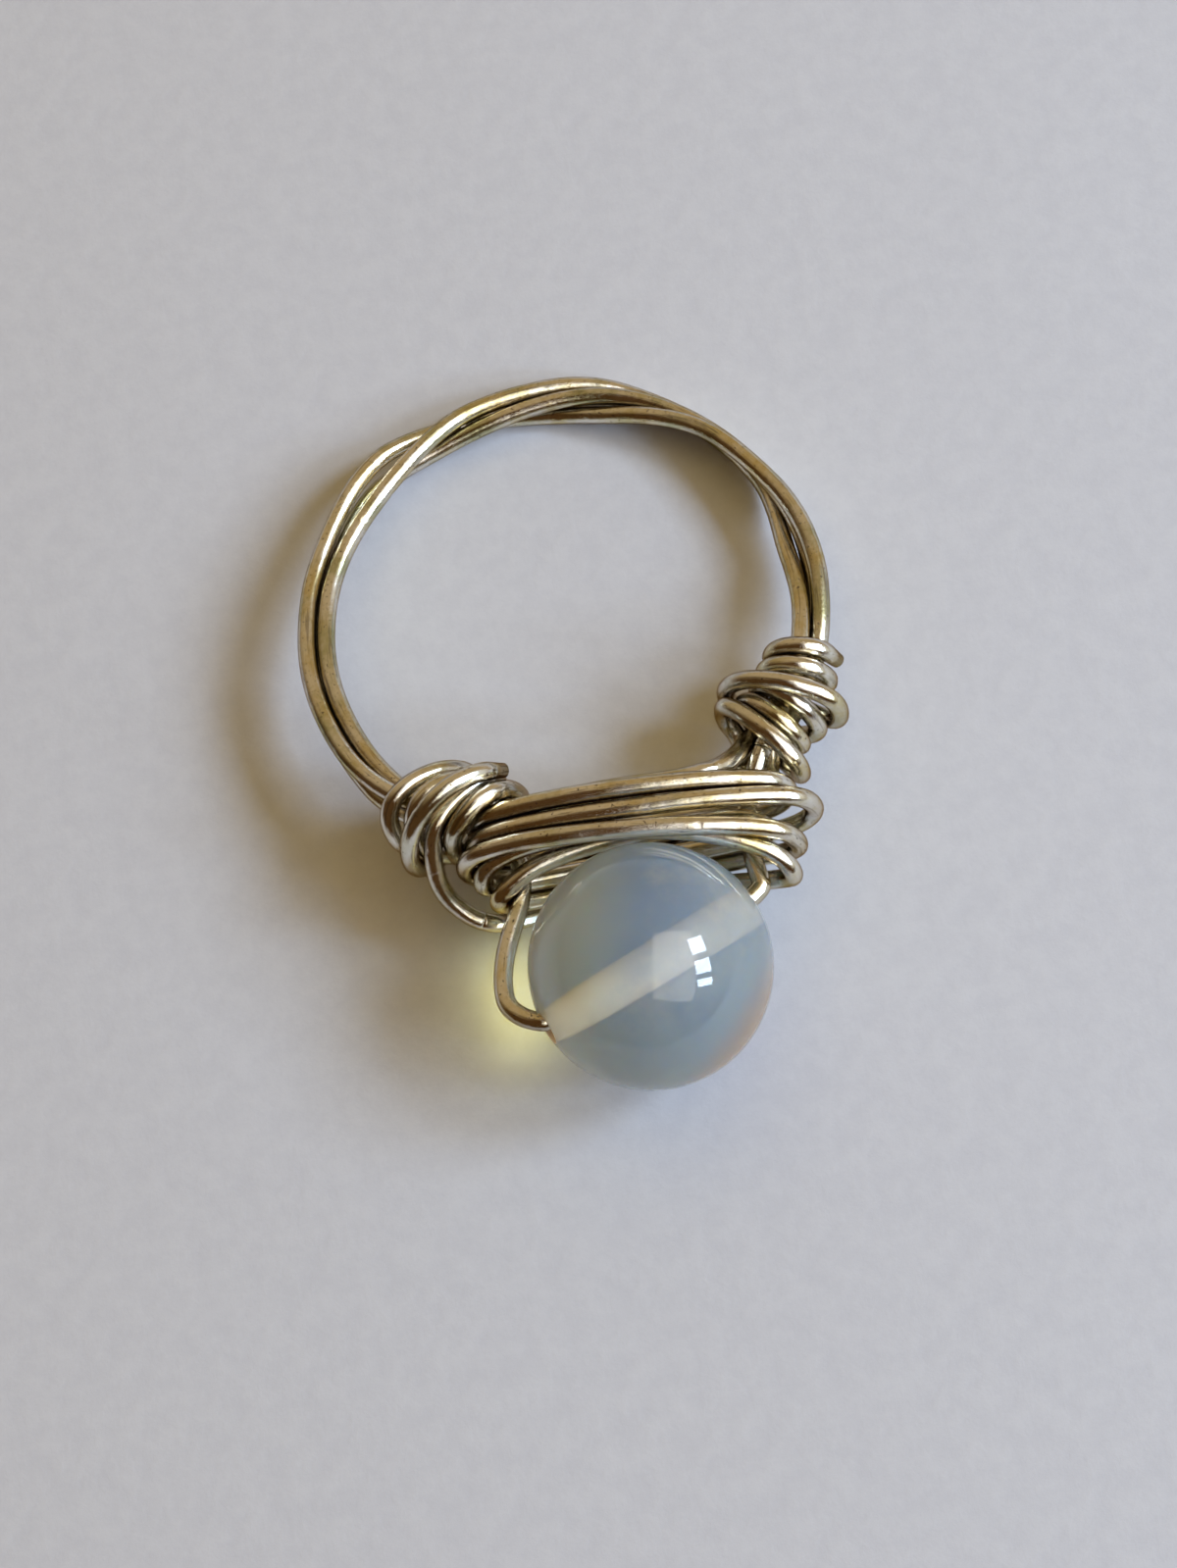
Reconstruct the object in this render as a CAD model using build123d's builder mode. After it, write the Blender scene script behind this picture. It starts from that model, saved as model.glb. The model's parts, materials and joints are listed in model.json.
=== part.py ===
"""A wire wrapped ring: one bead held in a loop of silvery wire that is wound three times round the finger.

The routes are worked out in the ring's own frame and then laid down as the ring rests by itself:
X runs across the finger along the coil, Y runs from the bead to the far side of the band, and Z is
the finger's axis. Lengths are millimetres.
"""
import os
from math import asin, cos, degrees, pi, radians, sin, sqrt, tan

import numpy as np
from build123d import *

# What is measured on the ring
wire = 0.8                  # diameter of the wire
finger_diameter = 19.9      # of the opening
bead_diameter = 10.0
hole_diameter = 1.2         # drilled through the bead for the wire
hole_chamfer = 0.1
coil_width = 14.0           # of the flat coil behind the bead, along X
coil_height = 5.0           # of the same coil, along Z
bead_standoff = 0.91        # between the band's middle line and the back of the bead
clearance = 0.04            # between neighbouring turns
bead_clearance = 0.12       # between the bead and the wires that pass beside it
left_wrap_reach = 2.18      # along the band, from the coil's edge to the far end of the left wrap
right_wrap_reach = 5.24     # the same for the right wrap
hole_direction = np.array((0.9335, 0.3402, -0.1131))

# Shares of the wire's diameter
bundle_depth = 1.06         # from the finger's opening to the middle line of the three strands
mouth_reach = 0.06          # from the bead's left mouth to the wire's first corner
corner_reach = 0.94         # from its right mouth to the corner there
point_pitch = 1.15          # the closest that two points of a route may be
sample_pitch = 0.375        # of the samples that keep the windings apart
blind_run = 2.4             # nearer than this along the wire, samples don't push each other

# Densities, grams to the cubic centimetre
wire_density = 8.9
glass_density = 2.5

spacing = wire + clearance
band_radius = finger_diameter / 2 + bundle_depth * wire
bead_radius = bead_diameter / 2
bead_centre = np.array((0.0, -(band_radius + bead_standoff + bead_radius), 0.0))

# Where the coil's edges stand on the band, in degrees from the bead, and where the wraps begin
coil_edge = degrees(asin(coil_width / 2 / band_radius))
left_wrap_at = coil_edge + degrees(left_wrap_reach / band_radius)
right_wrap_at = 360 - coil_edge - degrees(right_wrap_reach / band_radius)

# The three strands of the band. An angle runs clockwise from the bead, seen from above.
# bearing turns the three about each other, crook is how far the third leaves the line of the
# other two, out is the distance from the band's own circle and spread how loose they lie,
# with crook, out and spread in wire diameters. The angles are for a coil whose edge stands at
# table_edge, and stretch with the coil's own edge.
table_edge = 40.41
BAND = [
    # angle, bearing, crook, out, spread
    (31, 90, 0.0, -1.8, 1.0),
    (36, 88, -0.1, -1.25, 1.0),
    (42, 80, -0.5, -0.6, 1.0),
    (50, 60, -0.8, -0.1, 1.0),
    (63, 30, -0.88, 0.1, 1.0),
    (85, 5, -0.88, 0.0, 1.0),
    (105, 0, -0.88, 0.0, 1.0),
    (125, 5, -0.85, 0.05, 1.05),
    (140, 8, -0.8, 0.25, 1.3),
    (150, -8, -0.78, 0.3, 1.35),
    (158, -40, -0.78, 0.1, 1.15),
    (166, -78, -0.82, 0.0, 1.0),
    (178, -115, -0.82, -0.1, 1.0),
    (196, -160, -0.6, 0.05, 1.0),
    (213, -220, -0.3, 0.1, 1.0),
    (230, -249, -0.05, 0.1, 1.0),
    (250, -263, -0.1, 0.05, 1.0),
    (265, -310, -0.5, 0.0, 1.0),
    (280, -352, -0.88, 0.0, 1.0),
    (300, -400, -0.88, 0.0, 1.0),
    (320, -436, -0.88, 0.0, 1.0),
]

# The flat coil, a row for each turn. An x is a share of half the coil's width, an out is in wire
# diameters from the band's circle towards the bead, and a z is a share of half the coil's height.
COIL = [
    # left x, out, z; top out, z; right x, out, z; bottom out, z
    (-0.82, -2.31, 0.12, -1.09, 1.0, 1.06, 0.25, 0.12, -0.62, -1.0),
    (-0.88, -1.25, 0.0, -0.02, 1.0, 1.19, 1.31, 0.0, 0.38, -1.0),
    (-0.91, -0.18, 0.0, 1.03, 0.98, 1.04, 3.1, -0.04, 1.4, -1.02),
    (-0.79, 1.88, 0.0, 0.56, 0.32, 0.91, 2.0, -0.12, 0.94, -0.66),
    (-0.9, 0.88, 0.0, 0.75, 0.66, 0.95, 4.45, -0.04, 1.75, -1.2),
]
COIL_START = (1.04, -0.87, -0.36)
COIL_FIRST_BOTTOM = (-1.69, -1.0)
COIL_END = (-0.82, 2.0, -0.96)

# The tail that leaves the coil and runs up into the left wrap, in the coil's terms
TAIL = [
    (-0.95, 1.57, -0.84),
    (-1.03, 1.04, -0.68),
    (-1.07, 0.38, -0.44),
    (-1.07, -0.2, -0.2),
    (-1.05, -0.89, 0.12),
    (-1.02, -1.5, 0.4),
]

# The two wires that cross behind the coil, in the coil's terms
CROSSING_TOP = [
    (0.89, -2.62, 0.0),
    (0.76, -1.87, 0.36),
    (0.6, -1.43, 0.64),
    (0.4, -1.37, 0.74),
    (0.14, -1.75, 0.74),
    (-0.13, -1.95, 0.74),
    (-0.37, -2.1, 0.64),
    (-0.56, -2.4, 0.44),
]
CROSSING_LOW = [
    (-0.56, -2.45, -0.25),
    (-0.3, -2.1, 0.05),
    (0.04, -2.1, 0.33),
    (0.37, -2.0, 0.36),
    (0.62, -2.1, 0.2),
    (0.78, -2.3, -0.1),
    (0.87, -2.8, -0.4),
]

# A wrap round the three strands, a row for each turn, all in wire diameters. The two alongs are
# how far along the band a turn crosses its outer and its inner side, lead is how far it runs
# ahead of them at the top, towards the band's far side, and the reaches and heights are how far
# from the band's middle line it passes on its four sides.
LEFT_WRAP = [
    # along outer, along inner, lead, reach outer, reach inner, top, bottom
    (3.2, 5.0, 0.2, 1.75, 2.8, 2.1, 2.1),
    (3.7, 6.2, 0.3, 2.3, 1.8, 2.9, 2.9),
    (2.4, 4.3, 1.1, 2.3, 2.3, 2.8, 2.1),
    (1.7, 4.1, 1.4, 2.3, 2.6, 2.6, 2.7),
    (2.7, 5.4, 0.8, 2.8, 2.4, 3.6, 2.6),
]
RIGHT_WRAP = [
    (1.3, 2.0, 0.0, 1.75, 1.85, 1.75, 1.75),
    (2.4, 3.1, 0.0, 1.75, 1.95, 1.75, 1.75),
    (4.0, 5.8, 0.4, 3.35, 3.2, 2.5, 2.7),
    (4.95, 4.6, 0.0, 2.1, 1.75, 1.75, 1.75),
    (5.95, 5.4, 0.0, 2.1, 2.3, 1.9, 1.8),
    (6.9, 6.0, 0.0, 3.0, 3.0, 2.1, 1.9),
]
LEFT_WRAP_FIRST = 60        # degrees of the first turn at which the tail joins it
LEFT_WRAP_LAST = 4 * 360 + 160
RIGHT_WRAP_LAST = 5 * 360 + 240
STRAND_END = (1.05, -1.95, -0.22)

# The two legs that carry the bead, from its hole to the band, in bead radii from its centre
LEFT_LEG = [
    (-1.13, -0.17, 0.11),
    (-1.23, -0.02, 0.07),
    (-1.25, 0.15, 0.04),
    (-1.19, 0.36, 0.0),
    (-1.06, 0.64, 0.0),
    (-0.89, 0.94, -0.05),
    (-0.84, 1.22, -0.07),
    (-0.87, 1.46, -0.02),
]
RIGHT_LEG = [
    (1.03, 0.62, -0.09),
    (1.04, 0.86, -0.08),
    (1.05, 1.1, -0.07),
    (1.16, 1.32, -0.02),
    (1.28, 1.5, 0.07),
]


def on_band(angle, out, lift):
    """A point beside the band's circle."""
    turned = radians(angle)
    reach = band_radius + out
    return (-reach * sin(turned), -reach * cos(turned), lift)


def by_coil(across, out, lift):
    """A point given in the coil's terms."""
    return (across * coil_width / 2, -(band_radius + out * wire), lift * coil_height / 2)


def by_bead(across, behind, lift):
    """A point given in bead radii from the bead's centre."""
    return tuple(bead_centre + bead_radius * np.array((across, behind, lift)))


def row_at(rows, angle):
    """The table's row at an angle, blended from its neighbours."""
    for low, high in zip(rows, rows[1:]):
        if low[0] <= angle <= high[0]:
            share = (angle - low[0]) / (high[0] - low[0])
            return [a + share * (b - a) for a, b in zip(low, high)]
    return list(rows[-1])


def strand(index, step=9.0):
    """One of the three strands of the band, from the left wrap round to the right one."""
    first, last = BAND[0][0], BAND[-1][0]
    steps = round((last - first) / step)
    points = []
    for k in range(steps + 1):
        angle = first + (last - first) * k / steps
        _, bearing, crook, out, spread = row_at(BAND, angle)
        angle = 180 + (angle - 180) * (180 - coil_edge) / (180 - table_edge)
        half = 0.5 * sqrt(max(4 - 4 * crook ** 2, 1.0))
        across = (half, -half, 0.0)[index]
        proud = (-crook / 3, -crook / 3, 2 * crook / 3)[index]
        turned = radians(bearing)
        outward = across * cos(turned) - proud * sin(turned)
        upward = across * sin(turned) + proud * cos(turned)
        loose = spacing * spread
        points.append(on_band(angle, out * wire + outward * loose, upward * loose))
    return points


def half_turn(begin, end, mid_y, mid_z, steps=8, fullness=0.62):
    """Half a turn of the flat coil: it bows to mid_y and mid_z on its way from begin to end."""
    points = []
    for k in range(1, steps):
        swing = pi * k / steps
        share = (1 - cos(swing)) / 2
        x, y, z = (a + (b - a) * share for a, b in zip(begin, end))
        y += (mid_y - (begin[1] + end[1]) / 2) * sin(swing)
        z += (mid_z - (begin[2] + end[2]) / 2) * sin(swing) ** fullness
        points.append((x, y, z))
    return points + [end]


def coil():
    """The flat coil behind the bead, from its right end to the bottom left one."""
    points = []
    here = by_coil(*COIL_START)
    low = by_coil(0.0, *COIL_FIRST_BOTTOM)
    for row in COIL:
        left = by_coil(*row[0:3])
        high = by_coil(0.0, *row[3:5])
        right = by_coil(*row[5:8])
        points += half_turn(here, left, *low[1:])
        points += half_turn(left, right, *high[1:])
        here = right
        low = by_coil(0.0, *row[8:10])
    return points + half_turn(here, by_coil(*COIL_END), *low[1:])


def wrap(rows, begin_at, direction, first, last, step=30.0):
    """Turns round the band. A turn starts at its outer side and goes over the top to the inner one."""
    points = []
    steps = round((last - first) / step)
    for k in range(steps + 1):
        turned = first + (last - first) * k / steps
        turn = int(turned // 360)
        along, inner, lead, reach_out, reach_in, top, bottom = rows[turn]
        next_along, _, _, next_out, _, _, _ = rows[min(turn + 1, len(rows) - 1)]
        swing = turned - 360 * turn
        share = (1 - cos(radians(swing % 180))) / 2
        if swing < 180:
            along += (inner - along) * share - lead * sin(radians(swing))
            reach = reach_out if swing < 90 else reach_in
            height = top
        else:
            along = inner + (next_along - inner) * share
            reach = reach_in if swing < 270 else next_out
            height = bottom
        angle = begin_at + direction * degrees(along * wire / band_radius)
        out = reach * wire * cos(radians(swing))
        points.append(on_band(angle, out, height * wire * sin(radians(swing))))
    return points


def stretches():
    """The wire from one cut end to the other, as named stretches in the order that they follow."""
    along_hole = hole_direction / np.linalg.norm(hole_direction)
    left_mouth = tuple(bead_centre - along_hole * (bead_radius + mouth_reach * wire))
    right_corner = tuple(bead_centre + along_hole * (bead_radius + corner_reach * wire))
    through_bead = [right_corner, left_mouth]
    return [
        ("right_wrap", wrap(RIGHT_WRAP, right_wrap_at, 1, 0, RIGHT_WRAP_LAST)),
        ("shank_strand_2", [by_coil(*p) for p in reversed(CROSSING_LOW)] + strand(1)),
        ("bead_wire", [by_bead(*p) for p in reversed(RIGHT_LEG)] + through_bead
         + [by_bead(*p) for p in LEFT_LEG]),
        ("shank_strand_3", strand(2) + [by_coil(*p) for p in CROSSING_TOP]),
        ("shank_strand_1", strand(0) + [by_coil(*STRAND_END)]),
        ("coil", coil()),
        ("left_wrap", [by_coil(*p) for p in TAIL]
         + wrap(LEFT_WRAP, left_wrap_at, -1, LEFT_WRAP_FIRST, LEFT_WRAP_LAST)),
    ]


def thin_out(points, closest):
    """Drop each point that lies closer than that to the one kept before it."""
    kept = [points[0]]
    for point in points[1:]:
        if np.linalg.norm(np.subtract(point, kept[-1])) >= closest:
            kept.append(point)
    return kept


def blending(points, pitch):
    """Weights that turn the route's points into samples along its rounded line."""
    count = len(points)
    rows = [{0: 1.0}]
    for i in range(1, count - 1):
        steps = max(2, round(float(np.linalg.norm(points[i + 1] - points[i])) / pitch))
        for k in range(steps):
            share = k / steps
            before = (1 - share) ** 2 / 2
            after = share ** 2 / 2
            rows.append({i - 1: before, i: 1 - before - after, i + 1: after})
    rows.append({count - 1: 1.0})
    weights = np.zeros((len(rows), count))
    for r, row in enumerate(rows):
        for column, weight in row.items():
            weights[r, column] = weight
    return weights


def settle(points, held, rounds=600, refresh=15, ease=0.12):
    """Press the windings apart until they clear each other and the bead, as bent wire does."""
    start = points.copy()
    weights = blending(points, sample_pitch * wire)
    samples = weights @ points
    count = len(samples)
    run = np.r_[0, np.cumsum(np.linalg.norm(np.diff(samples, axis=0), axis=1))]
    separate = np.triu(np.abs(run[:, None] - run[None, :]) > blind_run * wire)
    free = (~held).astype(float)[:, None]
    in_bead = (weights @ held.astype(float)) > 0.5
    keep_off = bead_radius + wire / 2 + bead_clearance
    for turn in range(rounds):
        samples = weights @ points
        if turn % refresh == 0:
            square = (samples ** 2).sum(axis=1)
            apart = square[:, None] + square[None, :] - 2 * samples @ samples.T
            one, two = np.nonzero((apart < (spacing + 0.6 * wire) ** 2) & separate)
        gap = samples[one] - samples[two]
        distance = np.sqrt((gap ** 2).sum(axis=1)) + 1e-9
        short = np.maximum(spacing - distance, 0.0)
        force = gap * (short / distance)[:, None]
        hits = np.bincount(one, short > 0, count) + np.bincount(two, short > 0, count)
        push = np.zeros((count, 3))
        for axis in range(3):
            push[:, axis] = np.bincount(one, force[:, axis], count) - np.bincount(two, force[:, axis], count)
        push *= 0.5 / np.maximum(hits, 1)[:, None]
        from_bead = samples - bead_centre
        reach = np.linalg.norm(from_bead, axis=1)
        deep = np.where((reach < keep_off) & ~in_bead, keep_off - reach, 0.0)
        push += from_bead * (deep / np.maximum(reach, wire))[:, None]
        touched = (np.abs(push).sum(axis=1) > 0).astype(float)
        points = points + free * (weights.T @ push) / np.maximum(weights.T @ touched, 0.4)[:, None]
        shift = points - start
        eased = shift.copy()
        eased[1:-1] = 0.5 * shift[1:-1] + 0.25 * (shift[:-2] + shift[2:])
        points = start + free * (shift + ease * (eased - shift))
    return points


def routes():
    """The settled points of each stretch. Neighbouring stretches share the point where they meet."""
    names = []
    points = []
    for name, stretch in stretches():
        for point in thin_out(stretch, point_pitch * wire):
            names.append(name)
            points.append(point)
    points = np.array(points, float)
    names = np.array(names)
    corners = np.linalg.norm(points - bead_centre, axis=1) < bead_radius + wire
    held = corners & (names == "bead_wire") & (np.abs(points[:, 0]) > 0.9 * bead_radius)
    points = settle(points, held)
    found = {}
    for name in dict.fromkeys(names):
        where = np.nonzero(names == name)[0]
        first, last = where[0], where[-1]
        route = list(points[first:last + 1])
        if first > 0:
            route.insert(0, (points[first - 1] + points[first]) / 2)
        if last < len(points) - 1:
            route.append((points[last] + points[last + 1]) / 2)
        found[name] = route
    return found


def resting_turn(found):
    """The turn that lays the ring down: of all small tilts, the one with its middle lowest."""
    samples = np.concatenate([blending(np.array(r), sample_pitch * wire) @ np.array(r) for r in found.values()])
    wire_weight = wire_density * pi * wire ** 2 / 4 * sample_pitch * wire
    bead_weight = glass_density * pi * bead_diameter ** 3 / 6
    middle = (samples.sum(axis=0) * wire_weight + bead_centre * bead_weight)
    middle /= len(samples) * wire_weight + bead_weight
    lean, roll = 0.0, 0.0
    step = radians(4.0)

    def height(lean, roll):
        up = turning(lean, roll)[2]
        lowest = min(float((samples @ up).min()) - wire / 2, float(bead_centre @ up) - bead_radius)
        return float(middle @ up) - lowest

    best = height(lean, roll)
    while step > 1e-6:
        tries = [(lean + a * step, roll + b * step) for a in (-1, 0, 1) for b in (-1, 0, 1)]
        heights = [height(*each) for each in tries]
        if min(heights) < best - 1e-12:
            best = min(heights)
            lean, roll = tries[heights.index(best)]
        else:
            step /= 2
    print("rests with a lean of", round(degrees(lean), 2), "and a roll of", round(degrees(roll), 2), "degrees")
    return turning(lean, roll)


def turning(lean, roll):
    """A turn about X by minus the lean, after one about Y by the roll."""
    about_x = np.array(((1, 0, 0), (0, cos(lean), sin(lean)), (0, -sin(lean), cos(lean))))
    about_y = np.array(((cos(roll), 0, sin(roll)), (0, 1, 0), (-sin(roll), 0, cos(roll))))
    return about_x @ about_y


def lay_down(found):
    """Turn every route to the resting pose and bring the middle of the footprint to the origin."""
    turn = resting_turn(found)
    turned = {name: [turn @ p for p in route] for name, route in found.items()}
    centre = turn @ bead_centre
    everything = np.concatenate([blending(np.array(r), sample_pitch * wire) @ np.array(r) for r in turned.values()])
    low = np.minimum(everything.min(axis=0) - wire / 2, centre - bead_radius)
    high = np.maximum(everything.max(axis=0) + wire / 2, centre + bead_radius)
    shift = -np.array(((low[0] + high[0]) / 2, (low[1] + high[1]) / 2, low[2]))
    laid = {name: [tuple(p + shift) for p in route] for name, route in turned.items()}
    return laid, turn, shift


def corner_radii(points):
    """The largest tangent arcs that the straight runs allow."""
    radii = []
    for before, corner, after in zip(points, points[1:], points[2:]):
        arriving = np.subtract(corner, before)
        leaving = np.subtract(after, corner)
        lengths = np.linalg.norm(arriving), np.linalg.norm(leaving)
        turn = np.arccos(np.clip(arriving @ leaving / (lengths[0] * lengths[1]), -1, 1))
        radii.append(0.45 * min(lengths) / tan(turn / 2))
    return radii


os.makedirs("parts", exist_ok=True)
laid, turn, shift = lay_down(routes())
place_of_bead = Vector(*(turn @ bead_centre + shift))
axis_of_hole = Vector(*(turn @ (hole_direction / np.linalg.norm(hole_direction))))
print("bead centre", place_of_bead, "hole axis", axis_of_hole)
print("ring centre", turn @ np.zeros(3) + shift, "finger axis", turn[:, 2])

# The bead, a drilled ball
with BuildPart(Plane(origin=place_of_bead, z_dir=axis_of_hole)) as bead:
    Sphere(bead_radius)
    Cylinder(hole_diameter / 2, 1.2 * bead_diameter, mode=Mode.SUBTRACT)
    mouths = bead.edges().filter_by(GeomType.CIRCLE).filter_by(lambda e: e.radius < hole_diameter)
    chamfer(mouths, hole_chamfer)
bead.part.label = "bead"
export_step(bead.part, "parts/bead.step")

# The wire, one solid for each stretch, which meet face to face
for name, points in laid.items():
    radii = corner_radii(points)
    with BuildPart() as piece:
        with BuildLine() as path:
            FilletPolyline(*points, radius=radii)
        with BuildSketch(Plane(origin=path.line @ 0, z_dir=path.line % 0)):
            Circle(wire / 2)
        sweep(path=path.line)
    piece.part.label = name
    export_step(piece.part, f"parts/{name}.step")
    expected = pi * wire ** 2 / 4 * path.wires()[0].length
    print(name, "corners", len(radii), "tightest", round(float(min(radii)), 2),
          "volume", round(piece.part.volume, 2), "of", round(expected, 2))
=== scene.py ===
# %% [markdown]
# A wire wrapped ring, dressed for its picture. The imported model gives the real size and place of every
# piece. This lesson keeps those places and adds what plain solids can't show: the soft line of wire that was
# bent by hand, the marks of the pliers, the worn silver plating and the milky glass of the ball. Everything
# is in metres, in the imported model's own frame.

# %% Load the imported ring
import json
from math import asin, cos, degrees, pi, radians, sin, sqrt

import bpy
import numpy as np
from mathutils import Matrix, Vector
from mathutils.kdtree import KDTree


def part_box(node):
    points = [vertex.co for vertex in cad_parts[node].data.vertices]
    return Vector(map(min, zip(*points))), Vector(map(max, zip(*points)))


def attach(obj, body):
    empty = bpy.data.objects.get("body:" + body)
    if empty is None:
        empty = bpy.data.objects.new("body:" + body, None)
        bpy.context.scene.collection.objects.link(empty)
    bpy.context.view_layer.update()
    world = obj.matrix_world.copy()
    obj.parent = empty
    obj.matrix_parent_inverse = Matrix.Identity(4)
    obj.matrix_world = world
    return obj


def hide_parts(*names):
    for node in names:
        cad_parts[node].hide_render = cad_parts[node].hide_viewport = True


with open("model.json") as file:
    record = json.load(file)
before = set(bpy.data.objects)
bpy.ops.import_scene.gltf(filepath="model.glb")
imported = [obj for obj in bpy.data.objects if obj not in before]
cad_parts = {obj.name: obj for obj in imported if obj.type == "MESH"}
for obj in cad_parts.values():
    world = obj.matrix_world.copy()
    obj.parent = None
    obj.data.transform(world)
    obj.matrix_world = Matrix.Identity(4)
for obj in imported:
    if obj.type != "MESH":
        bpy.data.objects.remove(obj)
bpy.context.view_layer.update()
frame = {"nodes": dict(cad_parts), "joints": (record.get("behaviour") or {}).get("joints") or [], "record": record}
print("packed nodes", sorted(frame["nodes"]))

# %% [markdown]
# The ring lies on its side, tipped a little because the ball is thicker than the band. The record tells where
# the opening's middle and the ball are and how the finger's axis leans, and that is enough to work in the
# ring's own directions: across the finger, from the ball to the far side, and along the finger.

# %% The ring's own directions
mm = 0.001
spin = frame["joints"][0]
opening = frame["record"]["mounts"][0]
ring_place = Vector(opening["pos_m"])
finger_axis = Vector(opening["axis"]).normalized()
ball_place = Vector(spin["pos_m"])
hole_axis = Vector(spin["axis"]).normalized()
away_from_ball = (ring_place - ball_place).normalized()
across = away_from_ball.cross(finger_axis).normalized()
away_from_ball = finger_axis.cross(across).normalized()
ring_axes = np.array((across, away_from_ball, finger_axis))
print("finger axis", [round(v, 4) for v in finger_axis], "ball", [round(v, 5) for v in ball_place])


def in_frame(points):
    """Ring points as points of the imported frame."""
    return np.asarray(points, float) @ ring_axes + np.array(ring_place)


# %% [markdown]
# All the wire is one length, wound by hand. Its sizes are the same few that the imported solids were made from,
# so the finer tubes made here lie where those solids are. An angle runs clockwise round the band from the
# ball, seen from above, and a length in a table is in wires unless it says otherwise.

# %% Sizes and the tables of the winding
wire = 0.8 * mm
finger_diameter = 19.9 * mm
ball_diameter = 10.0 * mm
hole_diameter = 1.2 * mm
coil_width = 14.0 * mm
coil_height = 5.0 * mm
ball_standoff = 0.91 * mm
clearance = 0.04 * mm
ball_clearance = 0.12 * mm
left_wrap_reach = 2.18 * mm
right_wrap_reach = 5.24 * mm
hole_direction = np.array((0.9335, 0.3402, -0.1131))
BUNDLE_DEPTH, MOUTH_REACH, CORNER_REACH = 1.06, 0.06, 0.94
POINT_PITCH, SAMPLE_PITCH, BLIND_RUN = 1.15, 0.375, 2.4
spacing = wire + clearance
band_radius = finger_diameter / 2 + BUNDLE_DEPTH * wire
ball_radius = ball_diameter / 2
ball_centre = np.array((0.0, -(band_radius + ball_standoff + ball_radius), 0.0))
coil_edge = degrees(asin(coil_width / 2 / band_radius))
left_wrap_at = coil_edge + degrees(left_wrap_reach / band_radius)
right_wrap_at = 360 - coil_edge - degrees(right_wrap_reach / band_radius)
TABLE_EDGE = 40.41

# The band: a bearing turns its three strands about each other, crook is how far the third leaves the line of
# the other two, out is the distance from the band's circle, and spread is how loose they lie.
BAND = [
    # angle, bearing, crook, out, spread
    (31, 90, 0.0, -1.8, 1.0),
    (36, 88, -0.1, -1.25, 1.0),
    (42, 80, -0.5, -0.6, 1.0),
    (50, 60, -0.8, -0.1, 1.0),
    (63, 30, -0.88, 0.1, 1.0),
    (85, 5, -0.88, 0.0, 1.0),
    (105, 0, -0.88, 0.0, 1.0),
    (125, 5, -0.85, 0.05, 1.05),
    (140, 8, -0.8, 0.25, 1.3),
    (150, -8, -0.78, 0.3, 1.35),
    (158, -40, -0.78, 0.1, 1.15),
    (166, -78, -0.82, 0.0, 1.0),
    (178, -115, -0.82, -0.1, 1.0),
    (196, -160, -0.6, 0.05, 1.0),
    (213, -220, -0.3, 0.1, 1.0),
    (230, -249, -0.05, 0.1, 1.0),
    (250, -263, -0.1, 0.05, 1.0),
    (265, -310, -0.5, 0.0, 1.0),
    (280, -352, -0.88, 0.0, 1.0),
    (300, -400, -0.88, 0.0, 1.0),
    (320, -436, -0.88, 0.0, 1.0),
]

# The flat coil, a row for each turn. x and z are shares of half the coil's width and height.
COIL = [
    # left x, out, z; top out, z; right x, out, z; bottom out, z
    (-0.82, -2.31, 0.12, -1.09, 1.0, 1.06, 0.25, 0.12, -0.62, -1.0),
    (-0.88, -1.25, 0.0, -0.02, 1.0, 1.19, 1.31, 0.0, 0.38, -1.0),
    (-0.91, -0.18, 0.0, 1.03, 0.98, 1.04, 3.1, -0.04, 1.4, -1.02),
    (-0.79, 1.88, 0.0, 0.56, 0.32, 0.91, 2.0, -0.12, 0.94, -0.66),
    (-0.9, 0.88, 0.0, 0.75, 0.66, 0.95, 4.45, -0.04, 1.75, -1.2),
]
COIL_START = (1.04, -0.87, -0.36)
COIL_FIRST_BOTTOM = (-1.69, -1.0)
COIL_END = (-0.82, 2.0, -0.96)

# In the coil's terms: the tail that runs into the left knot, and the two wires that cross behind the coil
TAIL = [
    (-0.95, 1.57, -0.84),
    (-1.03, 1.04, -0.68),
    (-1.07, 0.38, -0.44),
    (-1.07, -0.2, -0.2),
    (-1.05, -0.89, 0.12),
    (-1.02, -1.5, 0.4),
]
CROSSING_TOP = [
    (0.89, -2.62, 0.0),
    (0.76, -1.87, 0.36),
    (0.6, -1.43, 0.64),
    (0.4, -1.37, 0.74),
    (0.14, -1.75, 0.74),
    (-0.13, -1.95, 0.74),
    (-0.37, -2.1, 0.64),
    (-0.56, -2.4, 0.44),
]
CROSSING_LOW = [
    (-0.56, -2.45, -0.25),
    (-0.3, -2.1, 0.05),
    (0.04, -2.1, 0.33),
    (0.37, -2.0, 0.36),
    (0.62, -2.1, 0.2),
    (0.78, -2.3, -0.1),
    (0.87, -2.8, -0.4),
]

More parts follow.
